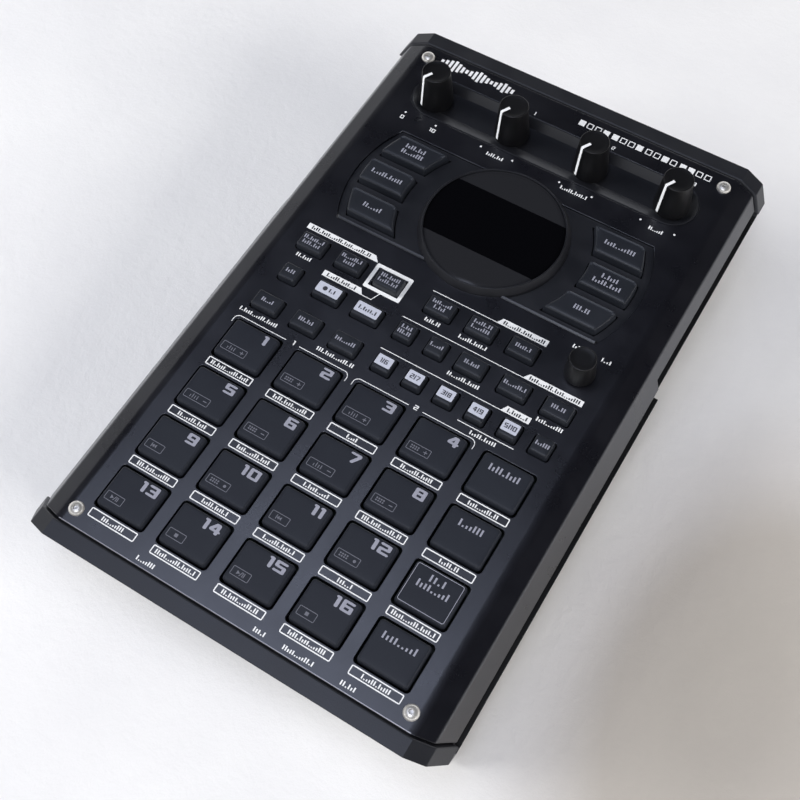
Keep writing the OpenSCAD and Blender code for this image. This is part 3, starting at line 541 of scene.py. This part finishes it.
# pale lenses of the record keys, the first with a dot, and their dark marks
lenses, marks = Ink(), Ink()
REC_DOT_X, REC_X = -41.4, -23.4
REC_LENS = round_ring(10.3, 4.7, 0.5)
s = KEY_S[1] + 0.25
for x in (REC_DOT_X, REC_X):
    lenses.poly([(x + a, s + b) for a, b in REC_LENS])
marks.disc(REC_DOT_X - 1.6, s, 1.0)
marks.marks(REC_DOT_X + 1.6, s, 3.0, MARK_H, 2)
marks.marks(REC_X, s, 8.2, MARK_H, 5)
lenses.build("record_lenses", KEY_H + PRINT_Z, PALE, "record_keys")
marks.build("record_marks", KEY_H + SECOND_PRINT_Z, DARK, "record_keys")

# pale lenses of the bank keys, with the numbers of their two banks
BANK_LENS = round_ring(6.6, 4.6, 0.4)
lenses, marks = Ink(), Ink()
s = KEY_S[0] + 0.4
for i, x in enumerate(BANK_X):
    lenses.poly([(x + a, s + b) for a, b in BANK_LENS])
    marks.digits("%d/%d" % (i + 1, i + 6), x, s, 2.0, "middle", 0.72, (0.2, 0.17), 0.16)
lenses.build("bank_lenses", KEY_H + PRINT_Z, PALE, "bank_keys")
marks.build("bank_marks", KEY_H + SECOND_PRINT_Z, DARK, "bank_keys")


# ---------- effect keys ----------
def fan_outline(side, row, inset):
    """Outline of an effect key, seen from above: between two arcs and two straight edges."""
    centre = (1 - row) * FX_PITCH
    low, high = centre - FX_HALF_D + inset, centre + FX_HALF_D - inset
    r_in, r_out = FX_IN + inset, FX_OUT - inset
    pts = []
    for k in range(9):
        t = low + (high - low) * k / 8
        pts.append((side * (FX_OUT_X + math.sqrt(r_out ** 2 - t ** 2)), DISP_S + t))
    for k in range(9):
        t = high + (low - high) * k / 8
        pts.append((side * math.sqrt(r_in ** 2 - t ** 2), DISP_S + t))
    return pts if side > 0 else pts[::-1]


def rounded(pts, r, n=4):
    """Rounds the sharp corners of a closed outline."""
    out, m = [], len(pts)
    for i in range(m):
        p, a, b = Vector(pts[i]), Vector(pts[i - 1]), Vector(pts[(i + 1) % m])
        u, v = (a - p).normalized(), (b - p).normalized()
        if u.dot(v) > -0.75:
            d = min(r, (a - p).length * 0.8, (b - p).length * 0.8)
            for k in range(n + 1):
                t = k / n
                q = (1 - t) ** 2 * (p + u * d) + 2 * t * (1 - t) * p + t * t * (p + v * d)
                out.append((q.x, q.y))
        else:
            out.append((p.x, p.y))
    return out


# rings of an effect key: inset, height and how far its rear rim stands up from there
FX_RINGS = [(0, -4.0, 0), (0.0, -0.5, 0), (0.3, 1.9, 0.15), (0.34, 2.14, 0.3), (0.44, 2.38, 0.45),
            (0.6, 2.59, 0.62), (0.78, 2.74, 0.53), (1.2, 2.89, 0.15), (1.65, 2.97, 0.02), (2.6, FX_H, 0)]
FX_RIM_S, FX_RIM_D = 3.8, 0.6  # start of the rear rim from the key's centre and its depth
FX_MARKS = [(9.6, 10.4), (14.6,), (8.8,), (13.6,), (7.4, 12.4), (7.0,)]
for n in range(1, 7):
    node = "fx_key_%d" % n
    side, row = (-1 if n < 4 else 1), (n - 1) % 3
    rim = DISP_S + (1 - row) * FX_PITCH + FX_RIM_S
    rings = []
    for inset, z, lift in FX_RINGS:
        rings.append([(a, b, z + lift * min(max((b - rim) / FX_RIM_D, 0), 1))
                      for a, b in rounded(fan_outline(side, row, inset), 1.1)])
    loft(node + "_moulding", rings, MATS["key_silicone"], node, [node])
    outline = fan_outline(side, row, 0)
    x, s = [sum(p[k] for p in outline) / len(outline) for k in (0, 1)]
    widths = FX_MARKS[n - 1]
    ink = Ink()
    for k, w in enumerate(widths):
        ink.marks(x, s + (0.2 if len(widths) == 1 else 1.7 - 3.1 * k), w, 2.15, n + 2 * k)
    ink.build(node + "_legend", FX_H + PRINT_Z, LEGEND, node)


# ---------- knobs ----------
def knob_profile(r0, r1, z0, z1, edge):
    """Skirt, tapered side, rounded top edge and a slightly dished top."""
    skirt = z0 + 0.6
    dish = z1 - 0.16
    prof = [(r0, z0), (r0, skirt)]
    prof += [(r0 + (r1 - r0) * t, skirt + (z1 - edge - skirt) * t) for t in (0.25, 0.5, 0.75, 1.0)]
    prof += [(r1 - edge * (1 - math.cos(math.radians(a))), z1 - edge * (1 - math.sin(math.radians(a))))
             for a in (22, 45, 68, 90)]
    prof += [(r1 - edge - 0.15, z1), (r1 - edge - 0.5, z1 - 0.12), (r1 - 2.6, dish), (0.6, dish)]
    return prof


# white pointer: up the side and onto the top, as (radius, z) on the knob
POINTER = [(7.45, 0.3), (7.1, 4.5), (6.72, 9.0), (6.3, 14.2), (6.14, 15.9), (5.95, 16.36), (5.6, 16.46),
           (2.0, 16.46)]
POINTER_HALF_W, POINTER_PROUD = 0.62, 0.03
POINTER_ANGLE = math.radians(-90 - 30)


def pointer_piece(node, x, s):
    out_x, out_s = math.cos(POINTER_ANGLE), math.sin(POINTER_ANGLE)
    verts = []
    for r, z in POINTER:
        for w in (-POINTER_HALF_W, POINTER_HALF_W):
            rr = r + POINTER_PROUD
            verts.append(PANEL @ Vector((x + out_x * rr - out_s * w, s + out_s * rr + out_x * w, z)))
    mesh = bpy.data.meshes.new(node + "_pointer")
    mesh.from_pydata(verts, [], [[2 * k, 2 * k + 1, 2 * k + 3, 2 * k + 2] for k in range(len(POINTER) - 1)])
    mesh.update()
    obj = add_object(node + "_pointer", mesh)
    mesh.materials.append(WHITE)
    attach(obj, node)


for i, x in enumerate(KNOB_X):
    node = "knob_%d" % (i + 1)
    turned(node + "_cap", x, KNOB_S, knob_profile(7.5, 6.1, -0.6, 16.4, 0.35), MATS["knob_plastic"],
           node, [node])
    pointer_piece(node, x, KNOB_S)

turned("value_knob_cap", VALUE_X, VALUE_S, knob_profile(6.05, 5.2, 1.15, 12.0, 0.4), MATS["knob_plastic"],
       "value_knob", ["value_knob"])

# ---------- display and effect recess ----------
WINDOW = [(28.72, 1.3), (28.72, 2.5), (28.6, 2.6), (27.2, 2.77), (26.9, 2.79), (26.5, 2.8), (14.0, 2.8),
          (1.0, 2.8)]
BEZEL = [(31.04, -0.7), (31.06, 0.22), (31.02, 0.42), (30.9, 0.66), (29.72, 2.7), (29.6, 2.88),
         (29.5, 3.02), (29.4, 3.14), (29.28, 3.22), (29.12, 3.26), (28.98, 3.25), (28.86, 3.19),
         (28.79, 3.06), (28.77, 2.9), (28.77, 1.35)]
turned("window_disc", 0.0, DISP_S, WINDOW, MATS["window"], "case", ["display_window"], 128, 30)
turned("display_bezel", 0.0, DISP_S, BEZEL, MATS["bezel_plastic"], "case", [],
       128, 30, hoop=True)

# raised lip along the front of the effect recess, on both sides of the bezel; s from the display
LIP = [(-26.05, 0.0), (-25.95, 0.08), (-25.2, 0.56), (-25.0, 0.6), (-24.85, 0.55), (-24.5, -0.2),
       (-24.4, -0.79)]
LIP_IN, LIP_OUT = 17.6, 58.4
lip_section = [(DISP_S + ds, z) for ds, z in LIP]
joined("recess_lip", [
    extruded("lip_left", lip_section, -LIP_OUT, -LIP_IN, MATS["surround_plastic"], 30),
    extruded("lip_right", lip_section, LIP_IN, LIP_OUT, MATS["surround_plastic"], 30)])

# painted highlight: a pale metal strip along the edge of the folded sheet at the seam to the front cap,
# standing in for the light that the rounded edge catches
SHEET_EDGE = [(8.07, -0.3), (8.02, -0.24), (8.03, -0.12), (8.1, -0.02), (8.2, 0.02), (8.36, 0.025),
              (8.36, -0.1)]
extruded("sheet_front_edge", SHEET_EDGE, -73.9, 73.9, MATS["painted_edge_glint"], 60)

# ---------- panel screws ----------
SCREW = [(2.95, -0.3), (2.95, 0.2), (2.86, 0.55), (2.62, 0.95), (2.25, 1.3), (1.8, 1.55), (1.3, 1.7),
         (1.0, 1.74), (0.92, 1.66), (0.8, 0.9), (0.2, 0.85)]
heads = []
for x in SCREW_X:
    for s in SCREW_S:
        heads.append(turned("screw_%d" % len(heads), x, s, SCREW, MATS["screw_steel"], "case",
                            [], 40, 30))
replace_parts(joined("panel_screw_heads", heads), "panel_screws")

# ---------- white print on the panel ----------
ink, knock = Ink(), Ink()
LINE_W = 0.32
HEAVY_PEN = (0.24, 0.19)


def tab(x0, x1, s0, s1, slant, k, left=False):
    """Filled tab with one slanted end and dark marks."""
    if left:
        ink.poly([(x0, s0), (x1, s0), (x1, s1), (x0 + slant, s1)])
    else:
        ink.poly([(x0, s0), (x1 + slant, s0), (x1, s1), (x0, s1)])
    knock.marks((x0 + x1) / 2 + (0.6 if left else 0), (s0 + s1) / 2, abs(x1 - x0) - 3.4, MARK_H, k)


# headings of the key groups, with their lines
tab(-66.7, -35.0, 159.2, 161.9, 2.4, 1)
ink.frame(-24.03, 153.2, 16.7, 12.3, 0.7, 1.55)
tab(-49.0, -31.9, 143.0, 145.8, 1.9, 2)
ink.path([(-30.2, 143.15), (-25.9, 143.15), (-24.2, 147.1)], LINE_W)
ink.bar((-6.8, 159.25), (21.8, 159.25), LINE_W)
tab(21.6, 43.3, 159.1, 162.0, 1.7, 3, True)
ink.bar((-11.0, 143.05), (42.0, 143.05), LINE_W)
tab(41.8, 66.8, 142.9, 145.6, 2.0, 4, True)
ink.bar((-11.0, 126.75), (41.4, 126.75), LINE_W)
tab(41.2, 53.2, 126.6, 129.5, 1.8, 5, True)
ink.bar((29.8, 114.95), (53.2, 114.95), LINE_W)

# numbered brackets over the pad columns
BRACKET_TOP, BRACKET_S, BRACKET_FOOT, BRACKET_R = 111.0, 108.8, 107.4, 2.2
BRACKET_GAP = 3.2  # half of the gap for the number
NUMERAL_S, NUMERAL_H = 111.4, 2.0
for x0, x1 in ((-67.6, -15.3), (-12.4, 40.2)):
    mid = (x0 + x1) / 2
    ink.bar((x0 + BRACKET_R, BRACKET_TOP), (mid - BRACKET_GAP, BRACKET_TOP), LINE_W)
    ink.bar((mid + BRACKET_GAP, BRACKET_TOP), (x1 - BRACKET_R, BRACKET_TOP), LINE_W)
    ink.arc(x0 + BRACKET_R, BRACKET_S, BRACKET_R, LINE_W, 90, 180, 8)
    ink.arc(x1 - BRACKET_R, BRACKET_S, BRACKET_R, LINE_W, 0, 90, 8)
    ink.bar((x0, BRACKET_S), (x0, BRACKET_FOOT), LINE_W)
    ink.bar((x1, BRACKET_S), (x1, BRACKET_FOOT), LINE_W)
for number, x in (("1", -41.0), ("2", 13.9)):
    ink.digits(number, x, NUMERAL_S, NUMERAL_H, "middle", 0.9, HEAVY_PEN)

# level marks under keys and along the front: centre and width
LABELS = [(-59.8, 146.6, 7.2), (0.1, 146.6, 7.0), (18.1, 146.6, 12.5), (23.15, 130.5, 14.0),
          (60.0, 130.5, 11.2), (-59.6, 114.2, 17.6), (-24.0, 114.2, 16.9), (41.5, 113.0, 11.2),
          (-36.8, 10.6, 8.0), (11.9, 10.6, 5.0), (27.8, 10.6, 12.6), (47.8, 10.6, 6.2),
          (54.2, 165.1, 5.2), (66.0, 165.1, 4.4)]
for k, (x, s, w) in enumerate(LABELS):
    ink.marks(x, s, w, MARK_H, k)

# outlined box in front of every pad, rear row first, with level marks of these widths inside
BOXES = [(17.2, 15.0, 4.7, 13.5, 12.5),
         (13.0, 14.5, 11.0, 16.5, 8.0),
         (14.5, 11.5, 13.5, 6.3, 17.6),
         (9.8, 17.4, 15.4, 15.2, 11.5)]
BOX_S, BOX_W, BOX_D = -11.95, 20.6, 3.65
for j, widths in enumerate(BOXES):
    for i, w in enumerate(widths):
        x, s = PAD_X[i], ROW_S[3 - j] + BOX_S
        ink.frame(x, s, BOX_W, BOX_D, 0.6, 0.44)
        ink.marks(x, s, w, MARK_H, i + 3 * j)

# knob scales: two dots, 0 and 10 at the first knob, level marks at the others, whose number is behind
DOT_X, DOT_S, DOT_R = 7.5, 231.1, 0.45
ENDS_S, ENDS_H = 228.2, 1.9
KNOB_MARK_S, KNOB_MARKS = 229.4, ((1, 8.0), (2, 12.4), (3, 6.4))
KNOB_NUMBER_X, KNOB_NUMBER_S, KNOB_NUMBER_H = 3.8, 258.3, 1.8
for x in KNOB_X:
    for dx in (-DOT_X, DOT_X):
        ink.disc(x + dx, DOT_S, DOT_R)
for dx, number in ((-DOT_X, "0"), (DOT_X, "10")):
    ink.digits(number, KNOB_X[0] + dx, ENDS_S, ENDS_H, "middle", 0.85, FINE_PEN)
for i, w in KNOB_MARKS:
    ink.marks(KNOB_X[i], KNOB_MARK_S, w, MARK_H, i)
for i, _ in KNOB_MARKS:
    ink.digits(str(i), KNOB_X[i] + KNOB_NUMBER_X, KNOB_NUMBER_S, KNOB_NUMBER_H, "middle", 0.8, FINE_PEN)

# level bars at the rear left, a row of sixteen steps at the rear right
REAR_BARS = (2.2, 3.6, 5.2, 6.4, 5.0, 3.4, 2.2, 3.0, 4.6, 6.0, 4.8, 3.2, 2.0, 2.6, 4.0, 5.4, 3.8, 2.4)
BARS_X, BARS_S, BAR_W, BAR_PITCH = -64.6, 263.9, 1.3, 2.05
for k, h in enumerate(REAR_BARS):
    x = BARS_X + BAR_PITCH * k
    ink.rect(x, BARS_S - h / 2, x + BAR_W, BARS_S + h / 2)
STEPS_ON = (0, 3, 4, 7, 10, 12, 13)
STEP_X, STEP_S, STEP_PITCH, BEAT_GAP = 5.0, 263.8, 3.75, 0.55
STEP_W, STEP_D = 2.8, 3.0
for k in range(16):
    x = STEP_X + STEP_PITCH * k + BEAT_GAP * (k // 4)
    if k in STEPS_ON:
        ink.rect(x - STEP_W / 2, STEP_S - STEP_D / 2, x + STEP_W / 2, STEP_S + STEP_D / 2)
    else:
        ink.frame(x, STEP_S, STEP_W, STEP_D, 0.3, 0.42)

ink.build("panel_print", PRINT_Z, WHITE, "case")
knock.build("panel_knockout", SECOND_PRINT_Z, KNOCK, "case")


# ---------- edges of the case ----------
def even_normals(obj):
    n = obj.modifiers.new("normals", "WEIGHTED_NORMAL")
    n.keep_sharp = True
    n.weight = 100


def soften(obj, width):
    """Small rounded edges on a CAD node, made by modifiers."""
    w = obj.modifiers.new("weld", "WELD")
    w.merge_threshold = 0.000005
    d = obj.modifiers.new("faces", "DECIMATE")
    d.decimate_type = "DISSOLVE"
    d.angle_limit = math.radians(1)
    b = obj.modifiers.new("edges", "BEVEL")
    b.width = width / 1000
    b.segments = 2
    b.limit_method = "ANGLE"
    b.angle_limit = math.radians(30)
    b.use_clamp_overlap = False
    even_normals(obj)


for node, width in (("front_cap", 0.35), ("rear_cap", 0.35), ("bottom_case", 0.25)):
    soften(frame["nodes"][node], width)

# edges of the sheet that are rounded: width, segments, between these angles, above this height
SHEET_ROUNDS = [(1.8, 6, 19, 22, -20),
                (0.7, 5, 36, 39, -20),
                (0.5, 5, 100, 130, -20),
                (0.24, 3, 85, 95, -0.01)]


def folded_sheet():
    """The sheet top with rounded folds and broken edges; everything else as in the frame."""
    b = bmesh.new()
    b.from_mesh(frame["nodes"]["top_panel"].data)
    bmesh.ops.remove_doubles(b, verts=b.verts, dist=0.000002)
    bmesh.ops.dissolve_limit(b, angle_limit=math.radians(0.5), verts=b.verts, edges=b.edges)
    flat = PANEL.inverted()
    for width, segments, low, high, floor_z in SHEET_ROUNDS:
        chosen = []
        for e in b.edges:
            if len(e.link_faces) == 2 and e.is_convex:
                if low < math.degrees(e.calc_face_angle()) < high:
                    if min((flat @ v.co).z for v in e.verts) > floor_z:
                        chosen.append(e)
        bmesh.ops.bevel(b, geom=chosen, offset=width / 1000, offset_type="OFFSET", segments=segments,
                        profile=0.5, affect="EDGES", clamp_overlap=False)
    mesh = bpy.data.meshes.new("folded_sheet")
    b.to_mesh(mesh)
    b.free()
    mesh.shade_smooth()
    mesh.set_sharp_from_angle(angle=math.radians(32))
    obj = add_object("folded_sheet", mesh)
    even_normals(obj)
    dress(obj, MATS["panel"])
    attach(obj, "case")
    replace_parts(obj, "top_panel")


folded_sheet()

# ---------- stage, in metres ----------
FLOOR_HALF, FLOOR_DROP = 3, 0.0002
# painted shadow: the floor is darker and warmer in an oval patch at the right of the device, where its
# shadow falls, painted into the cloth's colour: x, and y squeezed
PAINTED_SHADOW_SQUEEZE = (1.0, 0.55, 0.0)
PAINTED_SHADOW_CENTRE = (0.163, -0.0265, 0.0)
PAINTED_SHADOW_TONES = [(0.015, (0.5, 0.465, 0.42)), (0.04, (0.58, 0.54, 0.49)), (0.058, (0.8, 0.775, 0.75)),
               (0.08, (0.97, 0.965, 0.96)), (0.11, (1.0, 1.0, 1.0))]
CLOTH_TONES = [(0.3, (0.76, 0.755, 0.76)), (0.7, (0.83, 0.825, 0.82))]


def cloth_material():
    m, nodes, links, bsdf, vec = mat_base("pale_cloth")
    plush = ramp(nodes, links, noise(nodes, links, vec, 9.0, 6.0), CLOTH_TONES)
    squeeze = nodes.new("ShaderNodeVectorMath")
    squeeze.operation = "MULTIPLY"
    squeeze.inputs[1].default_value = PAINTED_SHADOW_SQUEEZE
    links.new(vec, squeeze.inputs[0])
    reach = nodes.new("ShaderNodeVectorMath")
    reach.operation = "DISTANCE"
    reach.inputs[1].default_value = PAINTED_SHADOW_CENTRE
    links.new(squeeze.outputs[0], reach.inputs[0])
    # painted shadow: the cloth's colour is multiplied down round the patch centre in place of the device's
    # cast shadow
    painted_shadow = ramp(nodes, links, reach.outputs["Value"], PAINTED_SHADOW_TONES)
    mix = nodes.new("ShaderNodeMix")
    mix.data_type = "RGBA"
    mix.blend_type = "MULTIPLY"
    mix.inputs["Factor"].default_value = 1.0
    links.new(plush, mix.inputs["A"])
    links.new(painted_shadow, mix.inputs["B"])
    links.new(mix.outputs["Result"], bsdf.inputs["Base Color"])
    bsdf.inputs["Roughness"].default_value = 0.95
    bsdf.inputs["Sheen Weight"].default_value = 0.3
    bump(nodes, links, noise(nodes, links, vec, 160.0, 8.0, 0.7), bsdf, 0.3, 0.0012)
    return m


floor_mesh = bpy.data.meshes.new("cloth")
corners = [(-FLOOR_HALF, -FLOOR_HALF, 0), (FLOOR_HALF, -FLOOR_HALF, 0),
           (FLOOR_HALF, FLOOR_HALF, 0), (-FLOOR_HALF, FLOOR_HALF, 0)]
floor_mesh.from_pydata(corners, [], [(0, 1, 2, 3)])
floor = add_object("cloth", floor_mesh)
floor.location.z = -FLOOR_DROP
floor_mesh.materials.append(cloth_material())


# ---------- light, in metres and watts ----------
def area(name, where, size_x, size_y, power, color, glossy=True):
    """Area light aimed at the origin; without glossy it lights surfaces but shows in no reflection."""
    d = bpy.data.lights.new(name, "AREA")
    d.energy = power
    d.color = color
    d.shape = "RECTANGLE"
    d.size = size_x
    d.size_y = size_y
    o = add_object(name, d)
    o.location = where
    o.rotation_euler = (-Vector(where)).to_track_quat("-Z", "Y").to_euler()
    o.visible_glossy = glossy


area("overhead", (-0.25, -0.26, 1.5), 1.12, 0.84, 5.3, (0.74, 0.80, 1.0))
area("lamp", (0.1, -0.85, 1.45), 0.3, 0.3, 4.5, (0.9, 0.93, 1.0))
area("left", (-1.8, -0.8, 0.9), 1.5, 1.5, 56.0, (1.0, 1.0, 1.0), glossy=False)
area("right", (1.9, -0.3, 0.65), 1.1, 1.1, 50.0, (1.0, 0.97, 0.93), glossy=False)
area("window", (-0.4, 1.75, 0.5), 2.4, 0.5, 4.0, (0.95, 0.97, 1.0))

# the room: pale from the horizon down, dark above
world = bpy.data.worlds.new("room")
bpy.context.scene.world = world
world.use_nodes = True
room, wires = world.node_tree.nodes, world.node_tree.links
room["Background"].inputs["Strength"].default_value = 1.0
height = room.new("ShaderNodeSeparateXYZ")
wires.new(room.new("ShaderNodeTexCoord").outputs["Generated"], height.inputs[0])
wires.new(ramp(room, wires, height.outputs["Z"], [(0.13, (1.0, 1.0, 1.02)), (0.5, (0.012, 0.013, 0.018))]),
          room["Background"].inputs["Color"])

# ---------- camera ----------
# place and axes in the panel frame, fitted to the four panel screws and the straight edges
CAMERA_FIT = 0.979  # last correction of the distance
CAMERA_AT = Vector((120.6 * CAMERA_FIT, -55.85 * CAMERA_FIT, 397.7 * CAMERA_FIT))
RIGHT = Vector((0.853997, 0.519796, -0.022226))
DOWN = Vector((0.454146, -0.765641, -0.455578))
FORWARD = Vector((-0.253820, 0.378974, -0.889919))
cam_data = bpy.data.cameras.new("photo_camera")
cam = add_object("photo_camera", cam_data)
bpy.context.scene.camera = cam
turn = Matrix.Rotation(TILT, 3, "X")
axes = Matrix((turn @ RIGHT, turn @ -DOWN, turn @ -FORWARD)).transposed()
cam.matrix_world = Matrix.Translation(PANEL @ CAMERA_AT) @ axes.to_4x4()
cam_data.sensor_width = 36
cam_data.lens = 52.457
cam_data.clip_start = 0.01

bpy.context.scene.view_settings.view_transform = "Standard"
